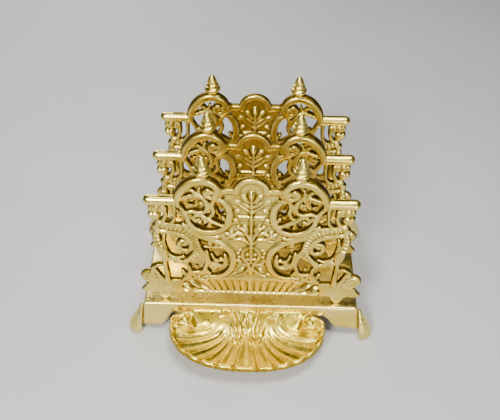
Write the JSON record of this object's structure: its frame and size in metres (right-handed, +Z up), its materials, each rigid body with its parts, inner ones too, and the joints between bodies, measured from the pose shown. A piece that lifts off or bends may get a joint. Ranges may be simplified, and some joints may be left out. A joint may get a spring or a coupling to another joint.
{
  "type": "desk letter rack",
  "caption": "Ornate cast-brass desk letter rack: pierced scroll plates stand one behind another on a footed base with a shell-shaped pen tray in front.",
  "frame": {"origin": "on the table, under the middle of the whole rack's box", "axes": "+X to the right along the plates seen from the shell tray, +Y back away from the tray, +Z up"},
  "size_m": [0.1704, 0.1423, 0.1536],
  "materials": {
    "plate_brass": "polished cast brass, slightly rough, dirt in the recesses",
    "base_brass": "polished cast brass, smooth on the top and the aprons",
    "tray_brass": "polished cast brass, warm gold inside, paler worn rim",
    "foot_brass": "polished cast brass",
    "nut_brass": "dull tarnished brass",
    "screw_steel": "dull steel"
  },
  "bodies": {
    "root": {"base": "base_brass", "shell_tray": "tray_brass", "front_plate": "plate_brass", "middle_plate": "plate_brass", "rear_plate": "plate_brass", "foot_front_left": "foot_brass", "foot_front_right": "foot_brass", "foot_back_left": "foot_brass", "foot_back_right": "foot_brass", "foot_screw_front_left": "screw_steel", "foot_screw_front_right": "screw_steel", "foot_screw_back_left": "screw_steel", "foot_screw_back_right": "screw_steel", "tray_screw_left": "screw_steel", "tray_screw_right": "screw_steel", "washer_front_left": "nut_brass", "washer_front_right": "nut_brass", "washer_middle_left": "nut_brass", "washer_middle_right": "nut_brass", "washer_rear_left": "nut_brass", "washer_rear_right": "nut_brass", "nut_front_left": "nut_brass", "nut_front_right": "nut_brass", "nut_middle_left": "nut_brass", "nut_middle_right": "nut_brass", "nut_rear_left": "nut_brass", "nut_rear_right": "nut_brass"}
  },
  "joints": []
}
